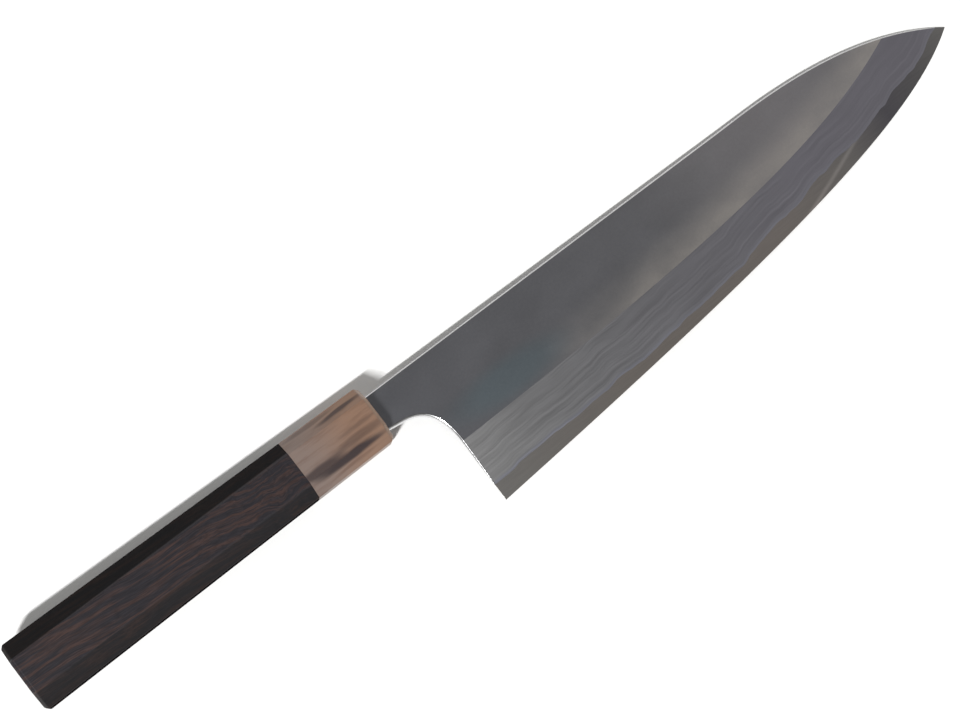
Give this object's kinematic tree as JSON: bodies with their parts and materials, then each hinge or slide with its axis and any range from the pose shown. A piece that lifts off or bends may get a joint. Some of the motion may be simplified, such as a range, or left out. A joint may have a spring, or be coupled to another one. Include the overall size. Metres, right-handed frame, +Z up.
{
  "type": "chef knife",
  "caption": "Japanese-style chef knife: layered blade with a wide bevel, rounded spine and choil, hidden tang, and an eight-sided ebony handle with a marbled horn ferrule.",
  "frame": {"origin": "middle of the bounding box in plan, on the table that the knife lies on", "axes": "+X along the knife to the tip, +Y to the spine, +Z up; the knife lies on its left side, its blade tilted by a few degrees so that the ferrule's lower front ridge and the edge's belly and tip rest on the table"},
  "size_m": [0.3578, 0.0576, 0.0252],
  "materials": {
    "core_steel": "satin",
    "cladding": "satin",
    "horn": "satin",
    "ebony": "satin",
    "dowel_wood": "matte",
    "resin": "satin"
  },
  "bodies": {
    "root": {"core_steel": "core_steel", "cladding_right": "cladding", "cladding_left": "cladding", "horn_ferrule": "horn", "ebony_handle": "ebony", "dowel_right": "dowel_wood", "dowel_left": "dowel_wood", "tang_bedding": "resin", "mouth_seal": "resin"}
  },
  "joints": []
}
